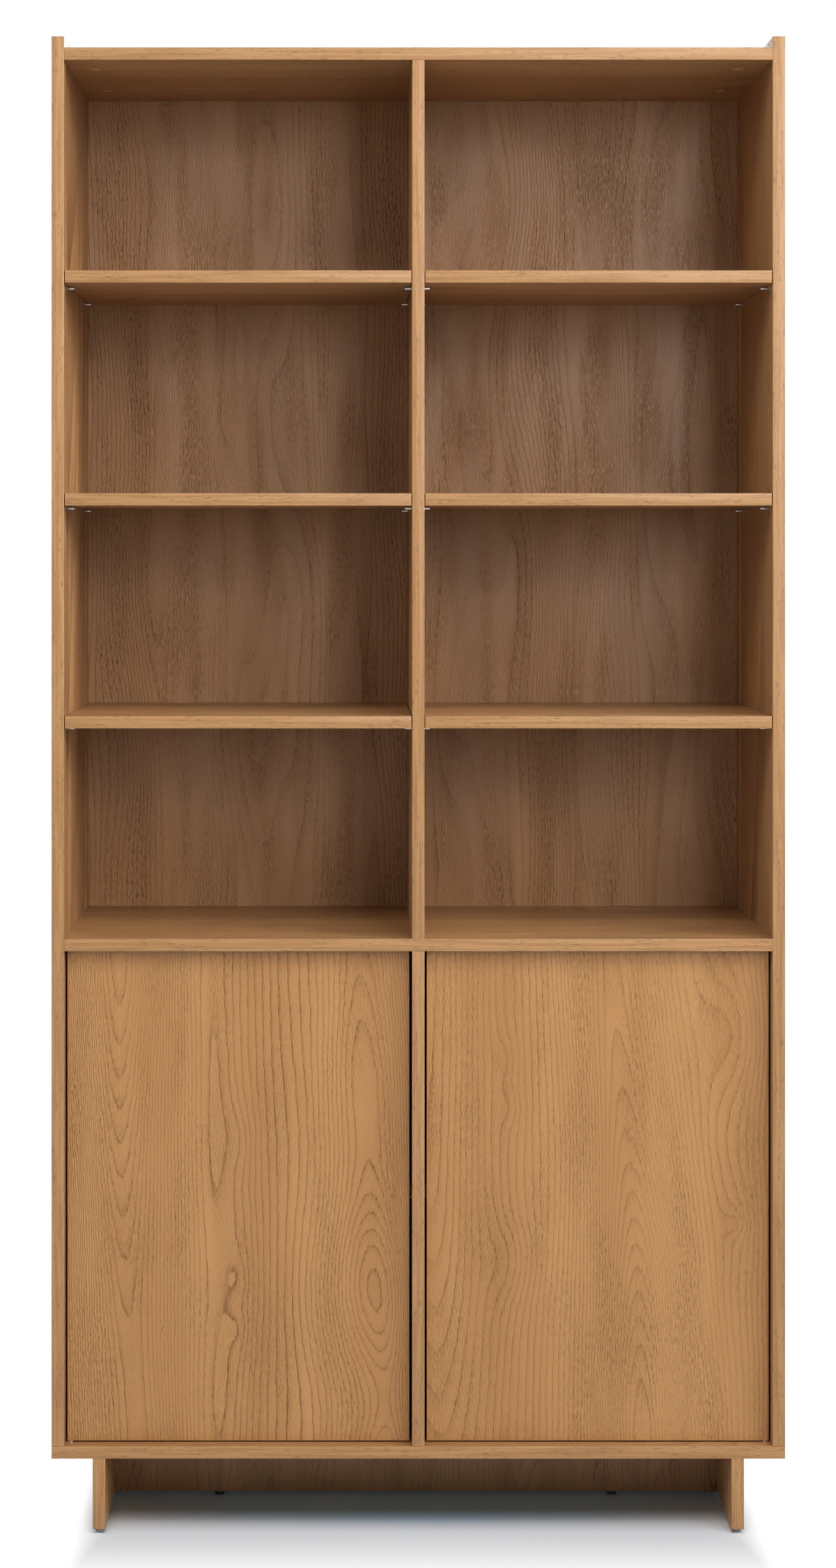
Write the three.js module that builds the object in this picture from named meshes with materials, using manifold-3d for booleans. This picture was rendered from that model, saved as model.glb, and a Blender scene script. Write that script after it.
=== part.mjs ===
// Bookcase with two cabinet doors, in millimetres.
// +Z is up and the front faces -Y. The origin is on the floor, below the middle of the case.

import * as THREE from 'three';
import { mergeVertices } from 'three/addons/utils/BufferGeometryUtils.js';
import Module from 'manifold-3d';

// Case
const caseWidth = 1060;
const caseDepth = 380;
const boardThickness = 18;
const cabinetHeight = 715;
const bayHeight = 304;
const bayRows = 4;
const sideOverrun = 16;

// Base
const baseHeight = 102;
const legInset = 59.5;
const legRearSetback = 14;
const railSetback = 158;

// Back panels, let into grooves
const backThickness = 3;
const backSetback = 15;
const grooveDepth = 6;
const grooveSlack = 0.5;
const backEndSlack = 1;

// Loose shelves and the pins that carry them
const shelfRearGap = 17;
const shelfEndGap = 1;
const cabinetShelfRise = 350;
const cabinetShelfSetback = 4;
const pinRadius = 2.5;
const pinStandOut = 9.5;
const pinSeatDepth = 8;
const pinChamfer = 0.5;
const frontPinSetback = 56;
const rearPinSetback = 33;

// Doors
const doorThickness = 18;
const doorRecess = 18.5;
const doorHingeGap = 2.7;
const doorInnerGap = 3.3;
const doorBottomGap = 2;
const doorTopGap = 2.5;

// Door pivots: a stub in the case, a collar in the gap and a shaft in the door
const pivotInset = 5;
const pivotShaftRadius = 2;
const pivotShaftLength = 12;
const pivotStubRadius = 2.5;
const pivotStubLength = 10;
const pivotCollarRadius = 4.25;
const pivotChamfer = 0.5;

// Push latches under the fixed shelf
const latchWidth = 16;
const latchHeight = 18;
const latchLength = 62;
const latchSideGap = 24;
const latchNoseGap = 5;
const plungerRadius = 4;
const plungerLength = 46;
const plungerDrop = 10;
const plungerTipInset = 1.25;
const plungerTipLength = 1.5;

// Glides under the legs
const glideHeight = 6;
const glideRadius = 5.5;
const glideChamfer = 1;
const glideStemRadius = 2;
const glideStemLength = 14;
const frontGlideSetback = 11;
const rearGlideSetback = 24;

// Levelling feet under the rail
const footRadius = 7.5;
const footChamfer = 1.5;
const footNeckRadius = 5;
const footPadShare = 0.6;
const footStemRadius = 3;
const footStemLength = 22;
const footSpacing = 590;

// Fits and facets
const clearance = 0.3;
const overrun = 2;
const roundSides = 16;
const gridLinesPerMillimetre = 1024;

// Heights, from the floor up
const legBottom = glideHeight;
const bottomPanelBottom = legBottom + baseHeight;
const bottomPanelTop = bottomPanelBottom + boardThickness;
const fixedShelfBottom = bottomPanelTop + cabinetHeight;
const fixedShelfTop = fixedShelfBottom + boardThickness;
const topPanelBottom = fixedShelfTop + bayRows * bayHeight + (bayRows - 1) * boardThickness;
const topPanelTop = topPanelBottom + boardThickness;
const sideTop = topPanelTop + sideOverrun;

// Planes across the case
const outerX = caseWidth / 2;
const innerX = outerX - boardThickness;
const dividerX = boardThickness / 2;
const frontY = -caseDepth / 2;
const rearY = caseDepth / 2;
const backFrontY = rearY - backSetback - backThickness;
const doorFrontY = frontY + doorRecess;
const doorRearY = doorFrontY + doorThickness;
const shelfRearY = backFrontY - shelfRearGap;
const legOuterX = outerX - legInset;
const legRearY = rearY - legRearSetback;
const railFrontY = frontY + railSetback;

const wasm = await Module();
wasm.setup();

const bookcase = new THREE.Group();

// Finishes
function finish(color, roughness, metalness) {
  return () => new THREE.MeshStandardMaterial({ color, roughness, metalness });
}

const oakLaminate = finish(0xc79a63, 0.5, 0);
const hardboard = finish(0xb58a58, 0.6, 0);
const brightSteel = finish(0xd2d3d4, 0.25, 1);
const greyPlastic = finish(0x8d9094, 0.5, 0);
const blackPlastic = finish(0x1c1c1d, 0.45, 0);

// Boards that meet share the same plane, because every face lies on a fine grid.
function onGrid(length) {
  return Math.round(length * gridLinesPerMillimetre) / gridLinesPerMillimetre;
}

// Turns a closed geometry into a solid that can be cut.
function solidOf(geometry) {
  const bare = geometry.index ? geometry.clone() : geometry;
  bare.deleteAttribute('normal');
  bare.deleteAttribute('uv');
  const welded = mergeVertices(bare);
  const vertProperties = new Float32Array(welded.attributes.position.array);
  const triVerts = new Uint32Array(welded.index.array);
  return new wasm.Manifold(new wasm.Mesh({ numProp: 3, vertProperties, triVerts }));
}

function geometryOf(solid) {
  const { vertProperties, triVerts } = solid.getMesh();
  const geometry = new THREE.BufferGeometry();
  geometry.setAttribute('position', new THREE.BufferAttribute(vertProperties, 3));
  geometry.setIndex(new THREE.BufferAttribute(triVerts, 1));
  geometry.computeVertexNormals();
  return geometry;
}

// A rectangular block between two corners
function block(low, high) {
  const size = high.map((value, i) => value - low[i]);
  const geometry = new THREE.BoxGeometry(...size);
  const middle = low.map((value, i) => value + size[i] / 2);
  return geometry.translate(...middle);
}

// A turned piece: profile points are [radius, height], and it stands along +Z.
function turned(profile) {
  const points = profile.map(([radius, height]) => new THREE.Vector2(radius, height));
  const geometry = new THREE.LatheGeometry(points, roundSides);
  return geometry.rotateX(Math.PI / 2);
}

// Round cutters that run along X, Y or Z from one end to the other
function bore(axis, radius, centre, from, to) {
  const geometry = turned([[0, from], [radius, from], [radius, to], [0, to]]);
  if (axis === 'x') geometry.rotateY(Math.PI / 2);
  if (axis === 'y') geometry.rotateX(-Math.PI / 2);
  return geometry.translate(...centre);
}

function addMesh(name, geometry, material, position) {
  const mesh = new THREE.Mesh(geometry, material());
  mesh.name = name;
  mesh.position.set(...position);
  bookcase.add(mesh);
  return mesh;
}

// A board between two corners of the case, less its cuts, which are given in the case's frame
function addBoard(name, low, high, cuts = [], material = oakLaminate) {
  const corner = low.map(onGrid);
  const size = high.map((value, i) => onGrid(value) - corner[i]);
  const away = corner.map((value) => -value);
  let solid = solidOf(block([0, 0, 0], size));
  for (const cut of cuts) {
    solid = solid.subtract(solidOf(cut.clone().translate(...away)));
  }
  return addMesh(name, geometryOf(solid), material, corner);
}

// Columns: the hand is -1 on the left and +1 on the right.
const hands = [
  { side: 'left', hand: -1 },
  { side: 'right', hand: 1 },
];

// Low and high X of a span that is given from the middle outwards
function spanX(hand, near, far) {
  const ends = [hand * near, hand * far];
  return [Math.min(...ends), Math.max(...ends)];
}

// Shelf levels, named from the floor up, each with the Z of the shelf's underside
const shelfLevels = [{ level: 'cabinet', underside: bottomPanelTop + cabinetShelfRise }];
const levelNames = ['lower', 'middle', 'upper'];
for (let row = 1; row < bayRows; row += 1) {
  const underside = fixedShelfTop + row * bayHeight + (row - 1) * boardThickness;
  shelfLevels.push({ level: levelNames[row - 1], underside });
}

const pinPlaces = [
  { end: 'front', y: frontY + frontPinSetback },
  { end: 'rear', y: shelfRearY - rearPinSetback },
];

function pinHeight(underside) {
  return underside - clearance - pinRadius;
}

// Holes for the shelf pins: blind in a side panel, right through a divider
function pinHolesInSide(hand, levels) {
  const [from, to] = spanX(hand, innerX - overrun, innerX + pinSeatDepth + clearance);
  return levels.flatMap(({ underside }) => pinPlaces.map(({ y }) => {
    const centre = [0, y, pinHeight(underside)];
    return bore('x', pinRadius + clearance, centre, from, to);
  }));
}

function pinHolesInDivider(levels) {
  const reach = dividerX + overrun;
  return levels.flatMap(({ underside }) => pinPlaces.map(({ y }) => {
    const centre = [0, y, pinHeight(underside)];
    return bore('x', pinRadius + clearance, centre, -reach, reach);
  }));
}

// Grooves that hold the back panels
const grooveRearY = backFrontY + backThickness + grooveSlack;

function sideGroove(hand) {
  const [left, right] = spanX(hand, innerX - overrun, innerX + grooveDepth);
  const low = [left, backFrontY, bottomPanelTop - overrun];
  return block(low, [right, grooveRearY, sideTop + overrun]);
}

function panelGroove(from, to) {
  const reach = innerX + grooveDepth;
  return block([-reach, backFrontY, from], [reach, grooveRearY, to]);
}

// The pivot axis of a door, near its outer front corner
const pivotX = innerX - doorHingeGap - pivotInset;
const pivotY = doorFrontY + pivotInset;

function pivotHoles(radius, from, to) {
  return hands.map(({ hand }) => bore('z', radius, [hand * pivotX, pivotY, 0], from, to));
}

// Side panels, which stand on the bottom panel
for (const { side, hand } of hands) {
  const [left, right] = spanX(hand, innerX, outerX);
  const low = [left, frontY, bottomPanelTop];
  const high = [right, rearY, sideTop];
  const cuts = [sideGroove(hand), ...pinHolesInSide(hand, shelfLevels)];
  addBoard(`${side}_side_panel`, low, high, cuts);
}

// Top panel, fixed shelf and bottom panel
{
  const low = [-innerX, frontY, topPanelBottom];
  const high = [innerX, rearY, topPanelTop];
  const groove = panelGroove(topPanelBottom - overrun, topPanelBottom + grooveDepth);
  addBoard('top_panel', low, high, [groove]);
}

{
  const low = [-innerX, frontY, fixedShelfBottom];
  const high = [innerX, rearY, fixedShelfTop];
  const upperGroove = panelGroove(fixedShelfTop - grooveDepth, fixedShelfTop + overrun);
  const lowerGroove = panelGroove(fixedShelfBottom - overrun, fixedShelfBottom + grooveDepth);
  const stubEnd = fixedShelfBottom + pivotStubLength + clearance;
  const holes = pivotHoles(pivotStubRadius + clearance, fixedShelfBottom - overrun, stubEnd);
  addBoard('fixed_shelf', low, high, [upperGroove, lowerGroove, ...holes]);
}

{
  const low = [-outerX, frontY, bottomPanelBottom];
  const high = [outerX, rearY, bottomPanelTop];
  const groove = panelGroove(bottomPanelTop - grooveDepth, bottomPanelTop + overrun);
  const stubEnd = bottomPanelTop - pivotStubLength - clearance;
  const holes = pivotHoles(pivotStubRadius + clearance, stubEnd, bottomPanelTop + overrun);
  addBoard('bottom_panel', low, high, [groove, ...holes]);
}

// Dividers, from the front of the case to the back panels
{
  const cabinetLevels = shelfLevels.filter(({ level }) => level === 'cabinet');
  const openLevels = shelfLevels.filter(({ level }) => level !== 'cabinet');
  const lowerLow = [-dividerX, frontY, bottomPanelTop];
  const lowerHigh = [dividerX, backFrontY, fixedShelfBottom];
  addBoard('lower_divider', lowerLow, lowerHigh, pinHolesInDivider(cabinetLevels));
  const upperLow = [-dividerX, frontY, fixedShelfTop];
  const upperHigh = [dividerX, backFrontY, topPanelBottom];
  addBoard('upper_divider', upperLow, upperHigh, pinHolesInDivider(openLevels));
}

// Back panels
{
  const reachX = innerX + grooveDepth - backEndSlack;
  const reachZ = grooveDepth - backEndSlack;
  const backRearY = backFrontY + backThickness;
  const lowerLow = [-reachX, backFrontY, bottomPanelTop - reachZ];
  const lowerHigh = [reachX, backRearY, fixedShelfBottom + reachZ];
  addBoard('lower_back_panel', lowerLow, lowerHigh, [], hardboard);
  const upperLow = [-reachX, backFrontY, fixedShelfTop - reachZ];
  const upperHigh = [reachX, backRearY, topPanelBottom + reachZ];
  addBoard('upper_back_panel', upperLow, upperHigh, [], hardboard);
}

// Loose shelves. Those in the cabinet stop short behind the doors.
for (const { level, underside } of shelfLevels) {
  const shelfFrontY = level === 'cabinet' ? doorRearY + cabinetShelfSetback : frontY;
  for (const { side, hand } of hands) {
    const [left, right] = spanX(hand, dividerX + shelfEndGap, innerX - shelfEndGap);
    const low = [left, shelfFrontY, underside];
    const high = [right, shelfRearY, underside + boardThickness];
    addBoard(`${side}_${level}_shelf`, low, high);
  }
}

// Shelf pins lie along X: short ones in the sides, and long ones right through the dividers.
function pinGeometry(from, to) {
  const profile = [
    [0, from],
    [pinRadius - pinChamfer, from],
    [pinRadius, from + pinChamfer],
    [pinRadius, to - pinChamfer],
    [pinRadius - pinChamfer, to],
    [0, to],
  ];
  return turned(profile).rotateY(Math.PI / 2);
}

for (const { level, underside } of shelfLevels) {
  for (const { end, y } of pinPlaces) {
    const z = pinHeight(underside);
    for (const { side, hand } of hands) {
      const [from, to] = spanX(hand, -pinStandOut, pinSeatDepth);
      const name = `${side}_${level}_shelf_${end}_pin`;
      addMesh(name, pinGeometry(from, to), brightSteel, [hand * innerX, y, z]);
    }
    const reach = dividerX + pinStandOut;
    addMesh(`divider_${level}_${end}_pin`, pinGeometry(-reach, reach), brightSteel, [0, y, z]);
  }
}

// Legs and the rail between them
const glidePlaces = [
  { end: 'front', y: frontY + frontGlideSetback },
  { end: 'rear', y: legRearY - rearGlideSetback },
];
const legMiddleX = legOuterX - boardThickness / 2;
const railMiddleY = railFrontY + boardThickness / 2;
const footX = footSpacing / 2;

for (const { side, hand } of hands) {
  const [left, right] = spanX(hand, legOuterX - boardThickness, legOuterX);
  const holeTop = legBottom + glideStemLength + clearance;
  const holes = glidePlaces.map(({ y }) => {
    const centre = [hand * legMiddleX, y, 0];
    return bore('z', glideStemRadius + clearance, centre, legBottom - overrun, holeTop);
  });
  const low = [left, frontY, legBottom];
  addBoard(`${side}_leg_panel`, low, [right, legRearY, bottomPanelBottom], holes);
}

{
  const reach = legOuterX - boardThickness;
  const holeTop = legBottom + footStemLength + clearance;
  const holes = hands.map(({ hand }) => {
    const centre = [hand * footX, railMiddleY, 0];
    return bore('z', footStemRadius + clearance, centre, legBottom - overrun, holeTop);
  });
  const high = [reach, railFrontY + boardThickness, bottomPanelBottom];
  addBoard('cross_rail', [-reach, railFrontY, legBottom], high, holes);
}

// Glides: a nylon pad with a stem that is driven into the leg
function glideGeometry() {
  return turned([
    [0, 0],
    [glideRadius - glideChamfer, 0],
    [glideRadius, glideChamfer],
    [glideRadius, glideHeight],
    [glideStemRadius, glideHeight],
    [glideStemRadius, glideHeight + glideStemLength],
    [0, glideHeight + glideStemLength],
  ]);
}

for (const { side, hand } of hands) {
  for (const { end, y } of glidePlaces) {
    addMesh(`${side}_leg_${end}_glide`, glideGeometry(), greyPlastic, [hand * legMiddleX, y, 0]);
  }
}

// Levelling feet: a pad, a narrower neck and a stem in the rail
function footGeometry() {
  const padTop = glideHeight * footPadShare;
  return turned([
    [0, 0],
    [footRadius - footChamfer, 0],
    [footRadius, footChamfer],
    [footRadius, padTop],
    [footNeckRadius, glideHeight],
    [footStemRadius, glideHeight],
    [footStemRadius, glideHeight + footStemLength],
    [0, glideHeight + footStemLength],
  ]);
}

for (const { side, hand } of hands) {
  addMesh(`${side}_levelling_foot`, footGeometry(), blackPlastic, [hand * footX, railMiddleY, 0]);
}

// Doors, each with a hole for a pivot at its top and bottom
const doorBottom = bottomPanelTop + doorBottomGap;
const doorTop = fixedShelfBottom - doorTopGap;

for (const { side, hand } of hands) {
  const [left, right] = spanX(hand, dividerX + doorInnerGap, innerX - doorHingeGap);
  const low = [left, doorFrontY, doorBottom];
  const high = [right, doorRearY, doorTop];
  const holeRadius = pivotShaftRadius + clearance;
  const holeDepth = pivotShaftLength + clearance;
  const centre = [hand * pivotX, pivotY, 0];
  const lowerHole = bore('z', holeRadius, centre, doorBottom - overrun, doorBottom + holeDepth);
  const upperHole = bore('z', holeRadius, centre, doorTop - holeDepth, doorTop + overrun);
  addBoard(`${side}_door`, low, high, [lowerHole, upperHole]);
}

// Door pivots, which point up from the bottom panel or down from the fixed shelf
function pivotGeometry(gap) {
  const collarTop = gap - clearance;
  const shaftTop = gap + pivotShaftLength;
  return turned([
    [0, -pivotStubLength],
    [pivotStubRadius, -pivotStubLength],
    [pivotStubRadius, 0],
    [pivotCollarRadius, 0],
    [pivotCollarRadius, collarTop],
    [pivotShaftRadius, collarTop],
    [pivotShaftRadius, shaftTop - pivotChamfer],
    [pivotShaftRadius - pivotChamfer, shaftTop],
    [0, shaftTop],
  ]);
}

for (const { side, hand } of hands) {
  const lowerPlace = [hand * pivotX, pivotY, bottomPanelTop];
  addMesh(`${side}_door_lower_pivot`, pivotGeometry(doorBottomGap), brightSteel, lowerPlace);
  const upperPlace = [hand * pivotX, pivotY, fixedShelfBottom];
  const upperGeometry = pivotGeometry(doorTopGap).rotateX(Math.PI);
  addMesh(`${side}_door_upper_pivot`, upperGeometry, brightSteel, upperPlace);
}

// Push latches: a housing under the fixed shelf, and a plunger that follows the door
for (const { side, hand } of hands) {
  const near = dividerX + latchSideGap;
  const [left, right] = spanX(hand, near, near + latchWidth);
  const latchX = hand * (near + latchWidth / 2);
  const noseY = doorRearY + latchNoseGap;
  const plungerZ = fixedShelfBottom - plungerDrop;
  const tipY = doorRearY + clearance;
  const boreEnd = tipY + plungerLength + clearance;
  const centre = [latchX, 0, plungerZ];
  const hole = bore('y', plungerRadius + clearance, centre, noseY - overrun, boreEnd);
  const low = [left, noseY, fixedShelfBottom - latchHeight];
  const high = [right, noseY + latchLength, fixedShelfBottom];
  addBoard(`${side}_push_latch_housing`, low, high, [hole], greyPlastic);
  const plunger = turned([
    [0, 0],
    [plungerRadius - plungerTipInset, 0],
    [plungerRadius, plungerTipLength],
    [plungerRadius, plungerLength],
    [0, plungerLength],
  ]);
  plunger.rotateX(-Math.PI / 2);
  addMesh(`${side}_push_latch_plunger`, plunger, blackPlastic, [latchX, tipY, plungerZ]);
}

export default bookcase;
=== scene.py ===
"""Finishes, small fittings, floor, light and camera for the oak-laminate bookcase.

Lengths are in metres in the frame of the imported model: +Z is up and the front faces -Y.
"""

import math

import bmesh
import bpy
from mathutils import Matrix, Vector


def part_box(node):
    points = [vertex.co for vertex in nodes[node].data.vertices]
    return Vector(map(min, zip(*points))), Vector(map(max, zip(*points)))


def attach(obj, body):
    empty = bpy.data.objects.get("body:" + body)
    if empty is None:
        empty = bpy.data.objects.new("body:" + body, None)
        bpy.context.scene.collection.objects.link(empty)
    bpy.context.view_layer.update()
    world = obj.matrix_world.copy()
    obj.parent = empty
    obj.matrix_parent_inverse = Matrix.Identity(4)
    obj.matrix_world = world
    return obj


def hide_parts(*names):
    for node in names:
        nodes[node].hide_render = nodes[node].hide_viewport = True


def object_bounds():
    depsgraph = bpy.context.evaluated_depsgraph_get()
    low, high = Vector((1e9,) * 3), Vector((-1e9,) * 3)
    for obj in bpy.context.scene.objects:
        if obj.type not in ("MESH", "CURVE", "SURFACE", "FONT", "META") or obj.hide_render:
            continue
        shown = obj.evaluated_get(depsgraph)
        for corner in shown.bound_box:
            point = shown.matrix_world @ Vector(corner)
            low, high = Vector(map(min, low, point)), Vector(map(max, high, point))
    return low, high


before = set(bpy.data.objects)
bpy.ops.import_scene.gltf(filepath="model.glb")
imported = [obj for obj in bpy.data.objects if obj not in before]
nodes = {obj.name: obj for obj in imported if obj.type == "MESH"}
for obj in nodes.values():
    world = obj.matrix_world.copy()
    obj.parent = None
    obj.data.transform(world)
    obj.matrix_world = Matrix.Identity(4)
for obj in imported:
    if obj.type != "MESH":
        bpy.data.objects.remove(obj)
cad_low, cad_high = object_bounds()
scene = bpy.context.scene

MM = 0.001
HANDS = ("left", "right")
case_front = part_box("left_side_panel")[0].y


# Camera

# The photograph's frame, and three places in it that fix the view: where edges that run straight
# back meet, the middle of the case, and the bottom of a leg at the front.
PHOTO_WIDTH = 1200
PHOTO_HEIGHT = 2250
VANISHING_X = 503
VANISHING_Y = 790
CASE_MIDDLE_X = 600.5
LEG_BOTTOM_Y = 2194.8

# One pixel covers this much of the plane of the case's front edges.
PIXEL_SIZE = 1.00665 * MM
CAMERA_DISTANCE = 3.9
SENSOR_HEIGHT = 36.0
FARTHEST_SEEN = 100.0


def make_camera():
    """Looks straight back, level, and frames the case by shifting the picture."""
    camera = bpy.data.cameras.new("photo_camera")
    camera.sensor_fit = "VERTICAL"
    camera.sensor_height = SENSOR_HEIGHT
    camera.lens = CAMERA_DISTANCE / PIXEL_SIZE / PHOTO_HEIGHT * SENSOR_HEIGHT
    camera.shift_x = (PHOTO_WIDTH / 2 - VANISHING_X) / PHOTO_HEIGHT
    camera.shift_y = (VANISHING_Y - PHOTO_HEIGHT / 2) / PHOTO_HEIGHT
    camera.clip_end = FARTHEST_SEEN
    holder = bpy.data.objects.new("photo_camera", camera)
    leg_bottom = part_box("left_leg_panel")[0].z
    holder.location = (
        (VANISHING_X - CASE_MIDDLE_X) * PIXEL_SIZE,
        case_front - CAMERA_DISTANCE,
        leg_bottom + (LEG_BOTTOM_Y - VANISHING_Y) * PIXEL_SIZE,
    )
    holder.rotation_euler = (math.radians(90), 0, 0)
    scene.collection.objects.link(holder)
    scene.camera = holder


make_camera()


# Nodes of the finishes

# The settings of a range that eases in and out, and of a mixture of two colours
EASED = {"interpolation_type": "SMOOTHSTEP"}
COLOURS = {"data_type": "RGBA"}


def srgb(code):
    """Turns an sRGB hex colour into the linear colour that a shader takes."""
    channels = [int(code[i : i + 2], 16) / 255 for i in (1, 3, 5)]
    linear = [c / 12.92 if c <= 0.04045 else ((c + 0.055) / 1.055) ** 2.4 for c in channels]
    return (*linear, 1.0)


def fill(tree, node, inputs):
    """Sets a node's inputs, by name or in order, to values, or links other nodes to them."""
    for name, value in inputs.items() if isinstance(inputs, dict) else enumerate(inputs):
        if isinstance(value, bpy.types.Node):
            value = value.outputs[0]
        if isinstance(value, bpy.types.NodeSocket):
            tree.links.new(value, node.inputs[name])
        else:
            node.inputs[name].default_value = value


def add(tree, kind, inputs=(), **settings):
    """Adds a node with its settings, and fills its inputs."""
    node = tree.nodes.new("ShaderNode" + kind)
    for name, value in settings.items():
        setattr(node, name, value)
    fill(tree, node, inputs)
    return node


def new_material(name):
    """An empty material with its shader, ready for the nodes of one finish."""
    material = bpy.data.materials.new(name)
    material.use_nodes = True
    tree = material.node_tree
    tree.nodes.clear()
    shader = add(tree, "BsdfPrincipled")
    add(tree, "OutputMaterial", {"Surface": shader})
    return material, tree, shader


# The printed oak

# The print's colours in even white light
CASE_TONES = {"low": "#A3774B", "high": "#B4875A", "heart": "#9E7146", "pore": "#694420"}
DOOR_TONES = {"low": "#AB7A46", "high": "#B5844F", "heart": "#A37340", "pore": "#6B4014"}
BAND_TONES = {"low": "#9F7244", "high": "#AD8151", "pore": "#704A26"}

# The print's soft noises: their patches' size across and along the grain in millimetres, what
# is added to the seed, and the detail
NOISES = {
    "sway": (130, 420, 0, 0),
    "tremble": (10, 34, 3, 1),
    "fray": (1.9, 30, 5, 1),
    "hills": (95, 520, 7, 1),
    "vessels": (1.4, 10, 11, 1),
    "breaks": (1.6, 26, 13, 0),
    "bands": (46, 800, 17, 2),
    "clouds": (120, 260, 19, 2),
    "coarse": (40, 240, 23, 1),
    "fade": (48, 260, 29, 1),
    "band_streaks": (4.2, 160, 0, 1),
    "band_ticks": (1.5, 13, 5, 1),
    "band_lulls": (7, 60, 9, 0),
}

# The range of a noise or of another measure that counts, and the values at its two ends where
# they aren't 0 and 1
RANGES = {
    "tail": (0.0, 0.6, 1.0, 0.0),
    "flank": (0.03, 0.16, 0.18, 0.28),
    "fine": (0.05, 0.13, 1.0, 0.5),
    "level": (0.005, 0.045, 0.15, 1.0),
    "breaks": (0.30, 0.50, 0.45, 1.0),
    "coarse": (0.35, 0.7, 0.3, 1.0),
    "fade": (0.36, 0.62),
    "pores": (0.50, 0.72),
    "dents": (0.38, 0.68),
    "bands": (0.3, 0.7),
    "clouds": (0.3, 0.7),
    "heart": (-0.45, -1.0, 0.0, 0.3),
    "shine": (0.0, 1.0, 0.38, 0.52),
    "band_streaks": (0.32, 0.68),
    "band_ticks": (0.52, 0.68),
    "band_lulls": (0.35, 0.65),
}

# How the growth rings lie on a board. Rings stand close together on the flanks of crests, which
# repeat across the board, and open into arches along them. A door's figure counts from its lower
# left corner, the other boards' from the middle of the case, and lengths are in millimetres.
# crest, spacing and lean: where one crest lies, how far it is to the next, and how much they slant
# rings and hills: how many rings a crest and a soft hill rise by
# sway: how far the print strays to each side
# lines and ticks: how dark the growth lines and the pores are
# fade: what share of their darkness the lines keep in pale patches
# swellings: a place across and up, a half width, a half height, and the rings that it adds
# streaks: a place across, a half width, and how much lighter or darker the wood is. The light
# streaks at the left door's left edge and at both edges of the right door are painted light that
# lifts the shade the side panels and the divider throw there.
FIGURES = {
    "plain": {
        "crest": 40,
        "spacing": 290,
        "lean": 0.02,
        "rings": 15,
        "hills": 9,
        "sway": 34,
        "lines": 0.44,
        "ticks": 1.0,
        "fade": 0.5,
    },
    "back_panel": {
        "crest": 130,
        "spacing": 330,
        "lean": -0.02,
        "rings": 17,
        "hills": 5,
        "sway": 24,
        "lines": 0.34,
        "ticks": 1.6,
        "fade": 0.1,
    },
    "left_door": {
        "crest": 100,
        "spacing": 372,
        "lean": -0.065,
        "rings": 11,
        "hills": 2.5,
        "sway": 6,
        "lines": 0.72,
        "ticks": 1.0,
        "fade": 0.7,
        "swellings": (
            (78, 790, 76, 424, 11),
            (-50, 330, 85, 1500, -16),
            (212, 330, 60, 1500, -8),
            (441, 217, 84, 150, 9),
            (441, 520, 80, 150, 3.4),
            (452, -70, 75, 110, 9),
            (560, 330, 60, 1500, -14),
            (253, 440, 22, 46, -1.1),
            (247, 238, 15, 34, -0.9),
            (248, 160, 14, 25, -0.9),
            (145, 165, 6, 7, 1.2),
        ),
        "streaks": (
            # Painted light: this streak lightens the door's left edge, where the left side panel
            # throws shade.
            (20, 30, 0.8),
            (125, 32, -0.75),
            (275, 18, -0.6),
            (370, 35, 0.4),
            (455, 25, -0.35),
        ),
    },
    "right_door": {
        "crest": 322,
        "spacing": 360,
        "lean": -0.07,
        "rings": 17,
        "hills": 1.8,
        "sway": 6,
        "lines": 0.42,
        "ticks": 1.1,
        "fade": 0.45,
        "swellings": (
            (306, -20, 100, 400, 13),
            (-60, 330, 130, 1500, -26),
            (560, 330, 70, 1500, -14),
            (450, 587, 46, 92, 3),
            (455, 316, 17, 18, 1.6),
            (462, 316, 44, 80, 1.5),
            (116, 552, 18, 34, -1.1),
            (123, 483, 17, 28, -1.1),
            (124, 262, 36, 60, -2.2),
            (222, 545, 6, 7, 1.2),
        ),
        "streaks": (
            # Painted light: this streak lightens the door's left edge, where the divider throws
            # shade.
            (25, 30, 0.45),
            (112, 22, -0.5),
            (170, 25, 0.4),
            (265, 22, -0.4),
            (370, 55, 0.7),
            # Painted light: this streak lightens the door's right edge, where the right side panel
            # throws shade.
            (470, 30, 0.3),
        ),
    },
}

# In millimetres
TREMBLE = 3.2
FRAY = 12.0

# How much narrower a crest is than the valley beside it
CREST_SHARPNESS = 1.3

# Keeps the count of rings above zero in every valley
RINGS_BELOW = 60.0

# A growth line's width in millimetres, and the least share of a ring that it takes
GROWTH_LINE_WIDTH = 1.5
GROWTH_LINE_LEAST = 0.11

# How much the soft tail behind a growth line adds to the pores and to the tone
TAIL_PORES = 0.24
TAIL_TONE = 0.14

# How deep a growth line is pressed, as a share of a pore's depth
LINE_DEPTH = 0.5
PORE_DEPTH = 0.45 * MM
BAND_DARKNESS = 0.5
BAND_PORE_DEPTH = 0.15 * MM


def grain_place(tree, grain):
    """The place on a board in millimetres: X runs across the grain and Y along it.

    Across is the sum of the two other directions, of which one stays still on each flat face.
    """
    place = add(tree, "TexCoord").outputs["Object"]
    axes = add(tree, "SeparateXYZ", {"Vector": place}).outputs
    one, other = (axis for axis in "XYZ" if axis != grain)
    across = add(tree, "Math", (axes[one], axes[other]), operation="ADD")
    place = add(tree, "CombineXYZ", {"X": across, "Y": axes[grain]})
    return add(tree, "VectorMath", {0: place, "Scale": 1 / MM}, operation="SCALE")


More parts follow.
